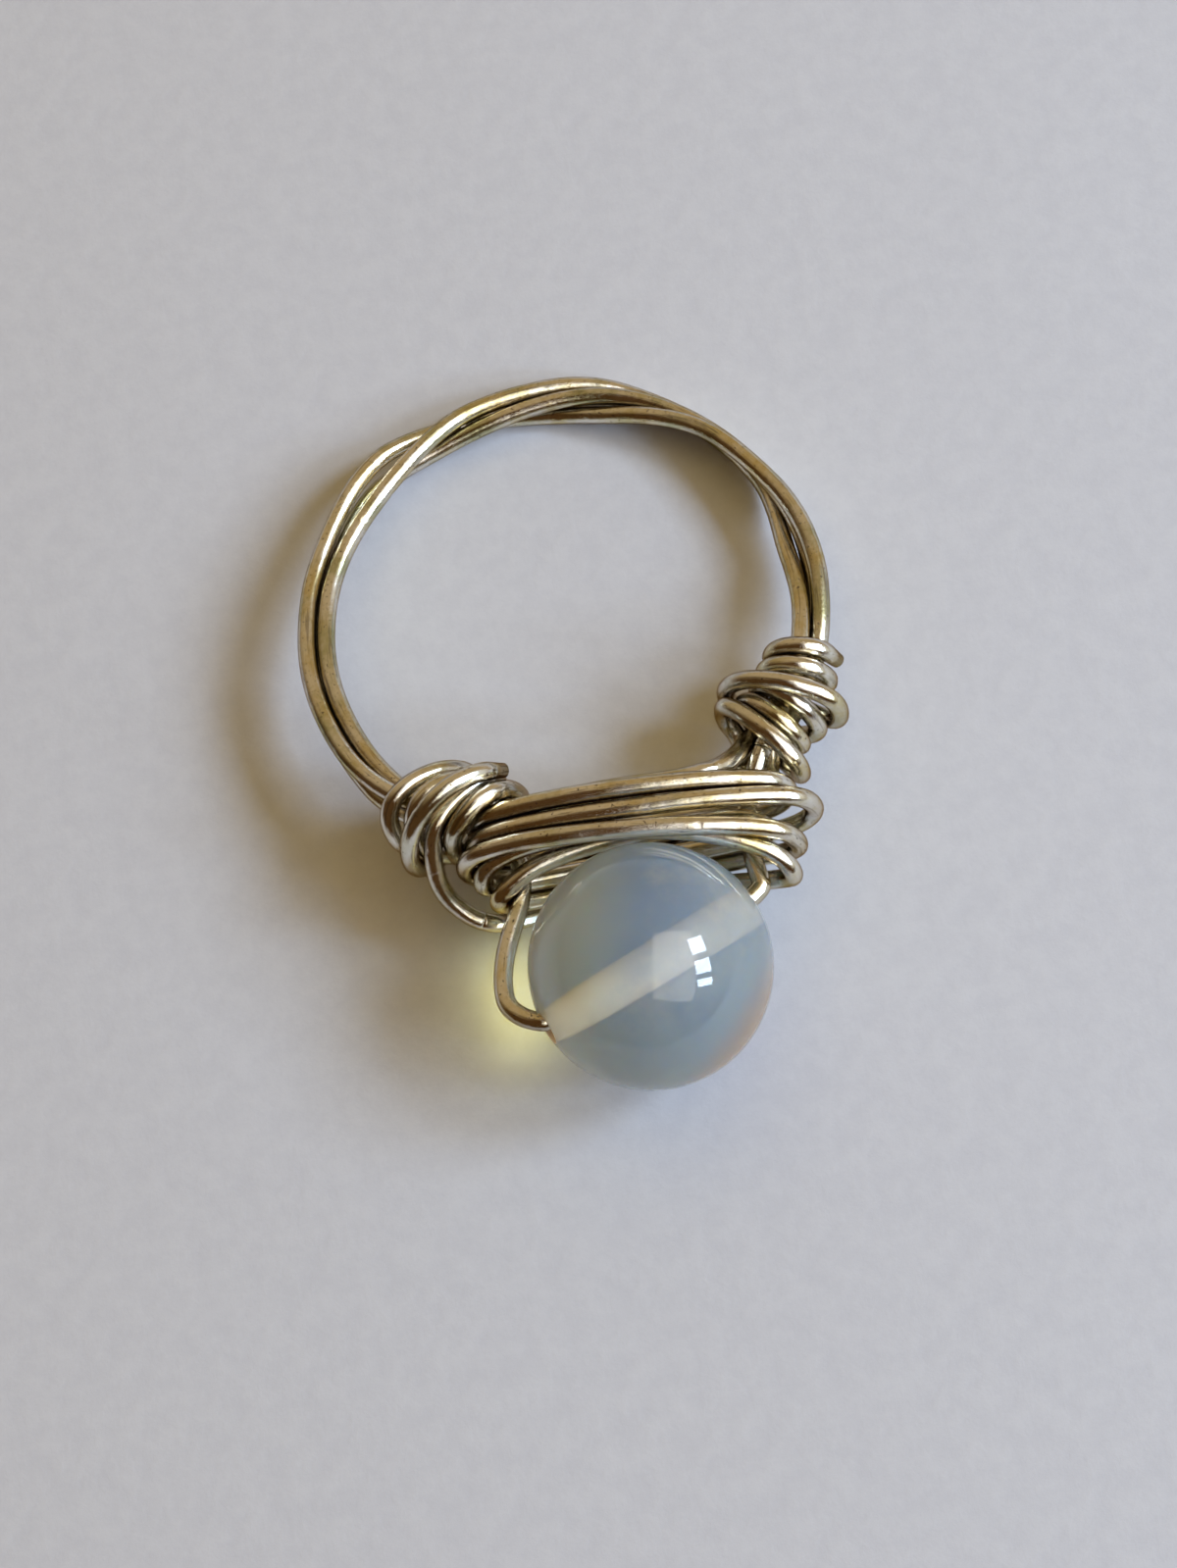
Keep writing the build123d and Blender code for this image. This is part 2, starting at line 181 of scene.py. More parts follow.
# The two knots, a row for each turn
LEFT_WRAP = [
    # along outer, along inner, lead, reach outer, reach inner, top, bottom
    (3.2, 5.0, 0.2, 1.75, 2.8, 2.1, 2.1),
    (3.7, 6.2, 0.3, 2.3, 1.8, 2.9, 2.9),
    (2.4, 4.3, 1.1, 2.3, 2.3, 2.8, 2.1),
    (1.7, 4.1, 1.4, 2.3, 2.6, 2.6, 2.7),
    (2.7, 5.4, 0.8, 2.8, 2.4, 3.6, 2.6),
]
RIGHT_WRAP = [
    (1.3, 2.0, 0.0, 1.75, 1.85, 1.75, 1.75),
    (2.4, 3.1, 0.0, 1.75, 1.95, 1.75, 1.75),
    (4.0, 5.8, 0.4, 3.35, 3.2, 2.5, 2.7),
    (4.95, 4.6, 0.0, 2.1, 1.75, 1.75, 1.75),
    (5.95, 5.4, 0.0, 2.1, 2.3, 1.9, 1.8),
    (6.9, 6.0, 0.0, 3.0, 3.0, 2.1, 1.9),
]
LEFT_WRAP_FIRST = 60
LEFT_WRAP_LAST = 4 * 360 + 160
RIGHT_WRAP_LAST = 5 * 360 + 240
STRAND_END = (1.05, -1.95, -0.22)

# The legs that carry the ball, from its hole to the band, in ball radii from its centre
LEFT_LEG = [
    (-1.13, -0.17, 0.11),
    (-1.23, -0.02, 0.07),
    (-1.25, 0.15, 0.04),
    (-1.19, 0.36, 0.0),
    (-1.06, 0.64, 0.0),
    (-0.89, 0.94, -0.05),
    (-0.84, 1.22, -0.07),
    (-0.87, 1.46, -0.02),
]
RIGHT_LEG = [
    (1.03, 0.62, -0.09),
    (1.04, 0.86, -0.08),
    (1.05, 1.1, -0.07),
    (1.16, 1.32, -0.02),
    (1.28, 1.5, 0.07),
]
print("band radius", round(band_radius / mm, 3), "mm, ball centre", (ball_centre / mm).round(3), "mm")


# %% [markdown]
# Three strands twist about each other round the finger. The table turns them by a bearing, and a point on the
# band is its angle, its distance outside the band's circle and its height.

# %% The band's strands
def on_band(angle, out, lift):
    """A point beside the band's circle."""
    turned = radians(angle)
    reach = band_radius + out
    return (-reach * sin(turned), -reach * cos(turned), lift)


def row_at(rows, angle):
    """The table's row at an angle, blended from its neighbours."""
    for low, high in zip(rows, rows[1:]):
        if low[0] <= angle <= high[0]:
            share = (angle - low[0]) / (high[0] - low[0])
            return [a + share * (b - a) for a, b in zip(low, high)]
    return list(rows[-1])


def strand(index, step=9.0):
    """One of the three strands of the band, from the left wrap round to the right one."""
    first, last = BAND[0][0], BAND[-1][0]
    steps = round((last - first) / step)
    points = []
    for k in range(steps + 1):
        angle = first + (last - first) * k / steps
        _, bearing, crook, out, spread = row_at(BAND, angle)
        angle = 180 + (angle - 180) * (180 - coil_edge) / (180 - TABLE_EDGE)
        half = 0.5 * sqrt(max(4 - 4 * crook ** 2, 1.0))
        beside = (half, -half, 0.0)[index]
        proud = (-crook / 3, -crook / 3, 2 * crook / 3)[index]
        turned = radians(bearing)
        outward = beside * cos(turned) - proud * sin(turned)
        upward = beside * sin(turned) + proud * cos(turned)
        loose = spacing * spread
        points.append(on_band(angle, out * wire + outward * loose, upward * loose))
    return points


print("points in a strand", len(strand(0)))


# %% [markdown]
# The flat coil behind the ball is wound like a spring that was squashed between two fingers. Each half turn
# swings from one end to the other and bows out over the top or under the bottom.

# %% The flat coil
def by_coil(beside, out, lift):
    """A point given in shares of half the coil's size, and in wires outside the band's circle."""
    return (beside * coil_width / 2, -(band_radius + out * wire), lift * coil_height / 2)


def half_turn(begin, end, mid_y, mid_z, steps=8, fullness=0.62):
    """Half a turn of the flat coil: it bows to mid_y and mid_z on its way from begin to end."""
    points = []
    for k in range(1, steps):
        swing = pi * k / steps
        share = (1 - cos(swing)) / 2
        x, y, z = (a + (b - a) * share for a, b in zip(begin, end))
        y += (mid_y - (begin[1] + end[1]) / 2) * sin(swing)
        z += (mid_z - (begin[2] + end[2]) / 2) * sin(swing) ** fullness
        points.append((x, y, z))
    return points + [end]


def coil():
    """The flat coil, from its right end to the bottom left one."""
    points = []
    here = by_coil(*COIL_START)
    low = by_coil(0.0, *COIL_FIRST_BOTTOM)
    for row in COIL:
        left = by_coil(*row[0:3])
        high = by_coil(0.0, *row[3:5])
        right = by_coil(*row[5:8])
        points += half_turn(here, left, *low[1:])
        points += half_turn(left, right, *high[1:])
        here = right
        low = by_coil(0.0, *row[8:10])
    return points + half_turn(here, by_coil(*COIL_END), *low[1:])


print("points in the coil", len(coil()))


# %% [markdown]
# The two knots are turns of wire round the three strands. Each turn has its own slant, because it is wound
# over the turns before it, so a row says where it passes on the outer and the inner side.

# %% The wrapped knots and the legs that carry the ball
def wrap(rows, begin_at, direction, first, last, step=30.0):
    """Turns round the band. A turn starts at its outer side and goes over the top to the inner one."""
    points = []
    steps = round((last - first) / step)
    for k in range(steps + 1):
        turned = first + (last - first) * k / steps
        turn = int(turned // 360)
        along, inner, lead, reach_out, reach_in, top, bottom = rows[turn]
        next_along, _, _, next_out, _, _, _ = rows[min(turn + 1, len(rows) - 1)]
        swing = turned - 360 * turn
        share = (1 - cos(radians(swing % 180))) / 2
        if swing < 180:
            along += (inner - along) * share - lead * sin(radians(swing))
            reach = reach_out if swing < 90 else reach_in
            height = top
        else:
            along = inner + (next_along - inner) * share
            reach = reach_in if swing < 270 else next_out
            height = bottom
        angle = begin_at + direction * degrees(along * wire / band_radius)
        out = reach * wire * cos(radians(swing))
        points.append(on_band(angle, out, height * wire * sin(radians(swing))))
    return points


def by_ball(beside, behind, lift):
    """A point given in ball radii from the ball's centre."""
    return tuple(ball_centre + ball_radius * np.array((beside, behind, lift)))


def stretches():
    """The wire from one cut end to the other, as named stretches in the order that they follow."""
    along_hole = hole_direction / np.linalg.norm(hole_direction)
    left_mouth = tuple(ball_centre - along_hole * (ball_radius + MOUTH_REACH * wire))
    right_corner = tuple(ball_centre + along_hole * (ball_radius + CORNER_REACH * wire))
    through_ball = [right_corner, left_mouth]
    return [
        ("right_wrap", wrap(RIGHT_WRAP, right_wrap_at, 1, 0, RIGHT_WRAP_LAST)),
        ("shank_strand_2", [by_coil(*p) for p in reversed(CROSSING_LOW)] + strand(1)),
        ("bead_wire", [by_ball(*p) for p in reversed(RIGHT_LEG)] + through_ball
         + [by_ball(*p) for p in LEFT_LEG]),
        ("shank_strand_3", strand(2) + [by_coil(*p) for p in CROSSING_TOP]),
        ("shank_strand_1", strand(0) + [by_coil(*STRAND_END)]),
        ("coil", coil()),
        ("left_wrap", [by_coil(*p) for p in TAIL]
         + wrap(LEFT_WRAP, left_wrap_at, -1, LEFT_WRAP_FIRST, LEFT_WRAP_LAST)),
    ]


print("stretches", [name for name, _ in stretches()])


# %% [markdown]
# Wound wire can't pass through itself, so the windings settle: wherever two of them are closer than a wire's
# thickness they push each other apart, over and over, and the move is smoothed along the wire because wire is
# stiff. It is the same settling that the solids went through, so both agree.

# %% Let the windings settle
WATCHED_ROOM = 0.6          # windings this far from touching, in wires, are watched
FEWEST_TOUCHES = 0.4        # a point's share of the pushes is never divided by less
HELD_REACH = 0.9            # points of the hole stay put beyond this many ball radii from the middle
NO_DISTANCE = 1e-12


def thin_out(points, closest):
    """Drop each point that lies closer than that to the one kept before it."""
    kept = [points[0]]
    for point in points[1:]:
        if np.linalg.norm(np.subtract(point, kept[-1])) >= closest:
            kept.append(point)
    return kept


def blending(points, pitch):
    """Weights that turn the route's points into samples along its rounded line."""
    count = len(points)
    rows = [{0: 1.0}]
    for i in range(1, count - 1):
        steps = max(2, round(float(np.linalg.norm(points[i + 1] - points[i])) / pitch))
        for k in range(steps):
            share = k / steps
            before = (1 - share) ** 2 / 2
            after = share ** 2 / 2
            rows.append({i - 1: before, i: 1 - before - after, i + 1: after})
    rows.append({count - 1: 1.0})
    weights = np.zeros((len(rows), count))
    for r, row in enumerate(rows):
        for column, weight in row.items():
            weights[r, column] = weight
    return weights


def settle(points, held, rounds=600, refresh=15, ease=0.12):
    """Press the windings apart until they clear each other and the ball, as bent wire does."""
    start = points.copy()
    weights = blending(points, SAMPLE_PITCH * wire)
    samples = weights @ points
    count = len(samples)
    run = np.r_[0, np.cumsum(np.linalg.norm(np.diff(samples, axis=0), axis=1))]
    separate = np.triu(np.abs(run[:, None] - run[None, :]) > BLIND_RUN * wire)
    free = (~held).astype(float)[:, None]
    in_ball = (weights @ held.astype(float)) > 0.5
    keep_off = ball_radius + wire / 2 + ball_clearance
    for turn in range(rounds):
        samples = weights @ points
        if turn % refresh == 0:
            square = (samples ** 2).sum(axis=1)
            apart = square[:, None] + square[None, :] - 2 * samples @ samples.T
            one, two = np.nonzero((apart < (spacing + WATCHED_ROOM * wire) ** 2) & separate)
        gap = samples[one] - samples[two]
        distance = np.sqrt((gap ** 2).sum(axis=1)) + NO_DISTANCE
        short = np.maximum(spacing - distance, 0.0)
        force = gap * (short / distance)[:, None]
        hits = np.bincount(one, short > 0, count) + np.bincount(two, short > 0, count)
        push = np.zeros((count, 3))
        for axis in range(3):
            push[:, axis] = np.bincount(one, force[:, axis], count)
            push[:, axis] -= np.bincount(two, force[:, axis], count)
        push *= 0.5 / np.maximum(hits, 1)[:, None]
        from_ball = samples - ball_centre
        reach = np.linalg.norm(from_ball, axis=1)
        deep = np.where((reach < keep_off) & ~in_ball, keep_off - reach, 0.0)
        push += from_ball * (deep / np.maximum(reach, wire))[:, None]
        touched = (np.abs(push).sum(axis=1) > 0).astype(float)
        share = np.maximum(weights.T @ touched, FEWEST_TOUCHES)[:, None]
        points = points + free * (weights.T @ push) / share
        shift = points - start
        eased = shift.copy()
        eased[1:-1] = 0.5 * shift[1:-1] + 0.25 * (shift[:-2] + shift[2:])
        points = start + free * (shift + ease * (eased - shift))
    return points


def settled_wire():
    """All the points of the wire after settling, with the name of the stretch each belongs to."""
    names = []
    points = []
    for name, stretch in stretches():
        for point in thin_out(stretch, POINT_PITCH * wire):
            names.append(name)
            points.append(point)
    points = np.array(points, float)
    names = np.array(names)
    corners = np.linalg.norm(points - ball_centre, axis=1) < ball_radius + wire
    held = corners & (names == "bead_wire") & (np.abs(points[:, 0]) > HELD_REACH * ball_radius)
    return names, settle(points, held)


point_names, wire_points = settled_wire()
print("points of the whole wire", len(wire_points))


# %% [markdown]
# The settled points are corners, and real wire has none. A point on the smooth line is a blend of three of
# them, so the line touches the middle of every straight run, just as the solids' arcs do. The two legs that
# carry the ball hang free, so their bends are rounded a little more. A faint wander on top of it is what
# fingers leave in wire: it is less than the room between two windings.

# %% The smooth line of the whole wire
LINE_PITCH = 0.11 * mm
WANDER = 0.022 * mm
SLOW_SWING, QUICK_SWING = 1.9 * mm, 0.83 * mm
SLOW_SHARE, QUICK_SHARE = 0.65, 0.35


def wandering(run, phase):
    """A slow uneven swing along the wire, between -1 and 1."""
    slow = np.sin(run / SLOW_SWING + phase)
    quick = np.sin(run / QUICK_SWING + 2.3 * phase)
    return SLOW_SHARE * slow + QUICK_SHARE * quick


def eased(line, free, passes=60):
    """Rounds the bends of free wire by moving each sample towards its neighbours' middle, over and over."""
    line = line.copy()
    for _ in range(passes):
        middle = 0.5 * (line[:-2] + line[2:])
        line[1:-1] += 0.5 * free[1:-1, None] * (middle - line[1:-1])
    return line


line_weights = blending(wire_points, LINE_PITCH)
line = line_weights @ wire_points
from_ball = np.linalg.norm(line - ball_centre, axis=1)
on_leg = line_weights @ (point_names == "bead_wire").astype(float)
free = on_leg * np.clip((from_ball - ball_radius) / wire, 0, 1)
line = eased(line, free)
run = np.r_[0, np.cumsum(np.linalg.norm(np.diff(line, axis=0), axis=1))]
heading = np.gradient(line, axis=0)
heading /= np.linalg.norm(heading, axis=1)[:, None]


def carried_sides(heading):
    """A side direction for every sample, carried along the line without twisting."""
    side = np.cross(heading[0], (0.0, 0.0, 1.0))
    sides = []
    for ahead in heading:
        side = side - ahead * (side @ ahead)
        side /= np.linalg.norm(side)
        sides.append(side)
    return np.array(sides)


side = carried_sides(heading)
other_side = np.cross(heading, side)
calm_in_hole = np.clip((np.linalg.norm(line - ball_centre, axis=1) - ball_radius) / mm, 0, 1)
line = line + (WANDER * calm_in_hole * wandering(run, 0.4))[:, None] * side
line = line + (WANDER * calm_in_hole * wandering(run, 2.1))[:, None] * other_side
print("wire length", round(run[-1] / mm, 1), "mm in", len(line), "samples")


# %% [markdown]
# Pliers and fingernails leave their marks: short flats on the outside of a bend, where the jaws gripped, and
# small nicks. They are real dents in the mesh here. The tube is a ring of points round each sample of the
# line, and a dent pulls the points on one side of a few rings inwards.

# %% Flats and nicks, where the tools gripped
rng = np.random.default_rng(11)
RING_SIDES = 22
FLATS_PER_LENGTH = 1 / (3.2 * mm)
NICKS_PER_LENGTH = 1 / (1.5 * mm)
SWELL = 0.012               # how unevenly thick the drawn wire is
FLAT_SPAN = 1.5             # a flat is looked for this many lengths to each side
FLAT_FALL = 0.6             # and fades over this share of its length
LEAST_FACING = 0.3          # the least cosine reckoned with, so that sides turned away stay round
NICK_SPAN = 3               # a nick is looked for this many lengths to each side
NICK_TURN = 0.35            # and reaches this far round the wire, in radians


def tool_marks(per_length, lengths, depths):
    """Marks along the wire: where, on which side, how long and how deep."""
    count = int(run[-1] * per_length)
    return np.stack((
        rng.uniform(0, run[-1], count),
        rng.uniform(0, 2 * pi, count),
        rng.uniform(*lengths, count),
        rng.uniform(*depths, count),
    ), axis=1)


flats = tool_marks(FLATS_PER_LENGTH, lengths=(0.4 * mm, 1.3 * mm), depths=(0.008 * mm, 0.035 * mm))
nicks = tool_marks(NICKS_PER_LENGTH, lengths=(0.05 * mm, 0.16 * mm), depths=(0.012 * mm, 0.04 * mm))
around = np.arange(RING_SIDES) * 2 * pi / RING_SIDES


def ring_reaches():
    """The distance from the line to each point of each ring, with the dents taken out."""
    reach = np.full((len(run), RING_SIDES), wire / 2)
    reach *= 1 + SWELL * wandering(run, 5.0)[:, None]
    for place, angle, length, depth in flats:
        near = np.abs(run - place) < FLAT_SPAN * length
        fall = np.exp(-((run[near] - place) / (FLAT_FALL * length)) ** 2)[:, None]
        facing = np.cos(around - angle)
        flat = (wire / 2 - depth) / np.maximum(facing, LEAST_FACING)
        pressed = reach[near] + fall * (flat - reach[near])
        reach[near] = np.where(flat < reach[near], pressed, reach[near])
    for place, angle, length, depth in nicks:
        near = np.abs(run - place) < NICK_SPAN * length
        fall = np.exp(-((run[near] - place) / length) ** 2)[:, None]
        turned = (around - angle + pi) % (2 * pi) - pi
        reach[near] -= depth * fall * np.exp(-(turned / NICK_TURN) ** 2)
    return reach


reach = ring_reaches()
deepest = float(wire / 2 - reach.min())
print("flats", len(flats), "nicks", len(nicks), "deepest", round(deepest / mm, 3), "mm")


# %% [markdown]
# Brown tarnish gathers where polishing never reaches, in the grooves between two wires, and shade falls there
# too: the finish paints both. Every point of a tube therefore knows how near the next winding is, measured
# here once, and the finish reads it.

# %% How deep in a groove each point lies
GROOVE_REACH = 0.34 * mm
SAME_WINDING = 2.2          # nearer than this along the wire, in wires, is the same winding
outwards = (np.cos(around)[None, :, None] * side[:, None, :]
            + np.sin(around)[None, :, None] * other_side[:, None, :])
ring_points = line[:, None, :] + reach[:, :, None] * outwards


def groove_depths():
    """1 where another winding touches the point, falling to 0 at the groove's reach."""
    tree = KDTree(len(line))
    for i, place in enumerate(line):
        tree.insert(place, i)
    tree.balance()
    depths = np.zeros(ring_points.shape[:2])
    for i in range(len(line)):
        for j in range(RING_SIDES):
            for _, other, distance in tree.find_range(ring_points[i, j], wire / 2 + GROOVE_REACH):
                if abs(run[other] - run[i]) > SAME_WINDING * wire:
                    near = 1 - max(0.0, distance - wire / 2) / GROOVE_REACH
                    if near > depths[i, j]:
                        depths[i, j] = near
    return depths


groove = groove_depths()
print("points in a groove", int((groove > 0.5).sum()), "of", groove.size)


# %% [markdown]
# Each stretch becomes one closed mesh: rings joined by quads, and a cap at both ends. Inside the ring the
# caps of two stretches touch. At the wire's own two ends the cutters left a face with a worn edge, so the
# last rings shrink a little before the cap.

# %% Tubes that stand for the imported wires
WORN_LAST, WORN_NEXT = 0.8, 0.95    # what the last two rings of a worn end shrink to
DRAWN_RADIUS = 0.4                  # the wire's radius in millimetres, for the finish


def first_rows():
    """The sample where each point's part of the line begins."""
    starts = [0, 1]
    for here, there in zip(wire_points[1:-1], wire_points[2:]):
        steps = max(2, round(float(np.linalg.norm(there - here)) / LINE_PITCH))
        starts.append(starts[-1] + steps)
    return starts


def tube_mesh(name, first, last, worn_start, worn_end):
    """A closed tube over the samples from first to last."""
    rings = in_frame(ring_points[first:last + 1].reshape(-1, 3)).reshape(-1, RING_SIDES, 3)
    centres = in_frame(line[first:last + 1])
    tones = groove[first:last + 1].copy()
    places = run[first:last + 1].copy()
    rings = list(rings)
    if worn_start:
        rings[0] = centres[0] + WORN_LAST * (rings[0] - centres[0])
        rings[1] = centres[1] + WORN_NEXT * (rings[1] - centres[1])
    if worn_end:
        rings[-1] = centres[-1] + WORN_LAST * (rings[-1] - centres[-1])
        rings[-2] = centres[-2] + WORN_NEXT * (rings[-2] - centres[-2])
    rings = np.array(rings)
    count = len(rings)
    points = np.concatenate((rings.reshape(-1, 3), centres[:1], centres[-1:]))
    faces = []
    for i in range(count - 1):
        for j in range(RING_SIDES):
            k = (j + 1) % RING_SIDES
            here, there = i * RING_SIDES, (i + 1) * RING_SIDES
            faces.append((here + j, here + k, there + k, there + j))
    middle_start = count * RING_SIDES
    middle_end = middle_start + 1
    last_ring = (count - 1) * RING_SIDES
    for j in range(RING_SIDES):
        k = (j + 1) % RING_SIDES
        faces.append((middle_start, k, j))
        faces.append((middle_end, last_ring + j, last_ring + k))
    mesh = bpy.data.meshes.new(name)
    mesh.from_pydata([tuple(p) for p in points], [], faces)
    mesh.shade_smooth()
    tone = np.r_[tones.reshape(-1), tones[0].mean(), tones[-1].mean()]
    mesh.attributes.new("groove", "FLOAT", "POINT").data.foreach_set("value", tone.astype(np.float32))
    drawn = np.zeros((len(points), 3), np.float32)
    drawn[:-2, 0] = np.repeat(places / mm, RING_SIDES)
    drawn[:-2, 1] = np.tile(np.cos(around) * DRAWN_RADIUS, count)
    drawn[:-2, 2] = np.tile(np.sin(around) * DRAWN_RADIUS, count)
    drawn[-2:, 0] = (places[0] / mm, places[-1] / mm)
    mesh.attributes.new("drawn", "FLOAT_VECTOR", "POINT").data.foreach_set("vector", drawn.reshape(-1))
    made = bpy.data.objects.new(name, mesh)
    bpy.context.scene.collection.objects.link(made)
    return made


starts = first_rows()
tubes = {}
for node in dict.fromkeys(point_names):
    where = np.nonzero(point_names == node)[0]
    begin = starts[where[0]]
    end = starts[where[-1] + 1] if where[-1] + 1 < len(wire_points) else len(line) - 1
    tube = tube_mesh(f"{node}_wire", begin, end, worn_start=begin == 0, worn_end=end == len(line) - 1)
    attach(tube, "wirework")
    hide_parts(node)
    tubes[node] = tube
    low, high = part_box(node)
    corners = np.array([v.co for v in tube.data.vertices])
    away = max(np.abs(corners.min(axis=0) - low).max(), np.abs(corners.max(axis=0) - high).max())
    print(tube.name, "faces", len(tube.data.polygons), "box differs by", round(float(away) / mm, 3), "mm")


# %% [markdown]
# Finishes are built from nodes, and sums of nodes read best as sums. This small class wraps one socket, so
# that 1 - mask or speck * 0.5 adds the Math node by itself. Colours and vectors go through their own nodes.

# %% A socket that can be reckoned with
ATTRIBUTE_VECTOR, ATTRIBUTE_NUMBER = 1, 2       # sockets, by their place in a node's list
GENERATED_PLACE, OBJECT_PLACE = 0, 3
DOT_VALUE = 1
MIX_SHARE, MIX_LOW, MIX_HIGH, MIX_COLOUR = 0, 6, 7, 2


class Value:
    """A node's output that can be added, multiplied and compared like a number."""

    def __init__(self, finish, socket):
        self.finish = finish
        self.socket = socket

    def reckon(self, operation, *others):
        return self.finish.node("ShaderNodeMath", {"operation": operation}, *others)

    def __add__(self, other):
        return self.reckon("ADD", self, other)

    def __radd__(self, other):
        return self.reckon("ADD", other, self)

    def __sub__(self, other):
        return self.reckon("SUBTRACT", self, other)

    def __rsub__(self, other):
        return self.reckon("SUBTRACT", other, self)

    def __mul__(self, other):
        return self.reckon("MULTIPLY", self, other)

    def __rmul__(self, other):
        return self.reckon("MULTIPLY", other, self)

    def most(self, other):
        return self.reckon("MAXIMUM", self, other)

    def ramp(self, low, high):
        """0 below low, 1 above high, and smooth between."""
        settings = {"interpolation_type": "SMOOTHSTEP"}
        return self.finish.node("ShaderNodeMapRange", settings, self, low, high, 0.0, 1.0)


class Nodes:
    """A node tree with one method that makes any node."""

    def __init__(self, tree):
        self.tree = tree

    def feed(self, socket, value):
        if isinstance(value, Value):
            self.tree.links.new(value.socket, socket)
        elif value is not None:
            socket.default_value = value

    def node(self, kind, settings, *values, output=0, **named):
        """Make a node: its settings first, then its sockets by order or by name."""
        made = self.tree.nodes.new(kind)
        for key, setting in settings.items():
            setattr(made, key, setting)
        for socket, value in zip(made.inputs, values):
            self.feed(socket, value)
        for name, value in named.items():
            self.feed(made.inputs[name], value)
        return Value(self, made.outputs[output])

    def mix(self, share, low, high):
        """A blend of two colours."""
        made = self.tree.nodes.new("ShaderNodeMix")
        made.data_type = "RGBA"
        for index, value in ((MIX_SHARE, share), (MIX_LOW, low), (MIX_HIGH, high)):
            self.feed(made.inputs[index], value)
        return Value(self, made.outputs[MIX_COLOUR])

    def noise(self, place, scale, detail=4.0, rough=0.55):
        return self.node("ShaderNodeTexNoise", {}, Vector=place, Scale=scale, Detail=detail, Roughness=rough)

    def stretched(self, place, x, y, z):
        return self.node("ShaderNodeVectorMath", {"operation": "MULTIPLY"}, place, (x, y, z))

    def bump(self, height, strength, distance):
        return self.node("ShaderNodeBump", {}, Height=height, Strength=strength, Distance=distance)

    def along(self, place, direction):
        """How far a place lies in a direction."""
        settings = {"operation": "DOT_PRODUCT"}
        return self.node("ShaderNodeVectorMath", settings, place, tuple(direction), output=DOT_VALUE)


class Finish(Nodes):
    """A material with one principled shader."""

    def __init__(self, name):
        self.material = bpy.data.materials.new(name)
        self.material.use_nodes = True
        super().__init__(self.material.node_tree)
        self.tree.nodes.clear()
        out = self.tree.nodes.new("ShaderNodeOutputMaterial")
        self.shader = self.tree.nodes.new("ShaderNodeBsdfPrincipled")
        self.tree.links.new(self.shader.outputs[0], out.inputs["Surface"])

    def set(self, **sockets):
        for name, value in sockets.items():
            self.feed(self.shader.inputs[name.replace("_", " ")], value)


def tone(red, green, blue):
    """A colour given as it looks on a screen, from 0 to 255."""
    def straight(part):
        part /= 255
        return part / 12.92 if part <= 0.04045 else ((part + 0.055) / 1.055) ** 2.4
    return (straight(red), straight(green), straight(blue), 1.0)


print("a mid grey is", [round(v, 3) for v in tone(128, 128, 128)])


# %% [markdown]
# The wire is copper with a thin silver plating. The plating has yellowed with wear, as silver does, and lies
# under an olive tarnish in wide patches. The copper's brown tarnish stays in the grooves, and the same brown
# also paints the shade that falls between two windings. Drawing the wire through a die left faint lines along
# it, so the scratches are noise stretched along the wire.

# %% Worn silver plating
BRIGHT_SILVER = tone(232, 229, 219)
BRASSY_SILVER = tone(214, 199, 150)
OLIVE_TARNISH = tone(178, 180, 136)
BROWN_TARNISH_AND_SHADE = tone(72, 45, 24)
GLANCING_TINT = (0.42, 0.28, 0.16, 1.0)
SCRATCH_STRENGTH, SCRATCH_DEPTH = 0.3, 0.06 * mm


def plated(name, wear, groove_shade_and_tarnish, haze):
    """Silver plated wire: how brassy it has worn, how much brown tarnish and painted shade its grooves get, how
    olive its tarnish.
    """
    finish = Finish(name)
    drawn = finish.node("ShaderNodeAttribute", {"attribute_name": "drawn"}, output=ATTRIBUTE_VECTOR)
    groove = finish.node("ShaderNodeAttribute", {"attribute_name": "groove"}, output=ATTRIBUTE_NUMBER)
    patches = finish.noise(drawn, 0.45, 3.0)
    fine = finish.noise(drawn, 4.5, 5.0, 0.65)
    lines = finish.noise(finish.stretched(drawn, 0.3, 4.0, 4.0), 2.4, 6.0, 0.7)
    specks = finish.noise(drawn, 7.5, 2.0).ramp(0.64, 0.7)
    streaks = finish.noise(finish.stretched(drawn, 0.22, 3.0, 3.0), 1.9, 3.0).ramp(0.56, 0.66)
    brassy = (patches + fine * 0.3 - lines * 0.15).ramp(0.5 - wear, 0.85 - wear)
    # Brown tarnish in specks and streaks, and painted shade where another winding lies close.
    brown = ((groove + fine * 0.5 - 0.25).ramp(0.34, 0.85) * groove_shade_and_tarnish).most(specks * 0.8).most(streaks * 0.4)
    colour = finish.mix(brassy, BRIGHT_SILVER, BRASSY_SILVER)
    olive = (finish.noise(drawn, 0.32, 3.0) + fine * 0.2).ramp(0.55, 0.78)
    colour = finish.mix(olive * haze, colour, OLIVE_TARNISH)
    colour = finish.mix(brown, colour, BROWN_TARNISH_AND_SHADE)
    scratch = (lines * 0.7 + fine * 0.3).ramp(0.35, 0.8)
    finish.set(Base_Color=colour, Metallic=1.0, Roughness=0.07 + scratch * 0.1 + brown * 0.2)
    finish.set(Specular_Tint=GLANCING_TINT)
    relief = lines * 0.7 + fine * 0.4 + patches * 1.8
    finish.set(Normal=finish.bump(relief, SCRATCH_STRENGTH, SCRATCH_DEPTH))
    return finish.material


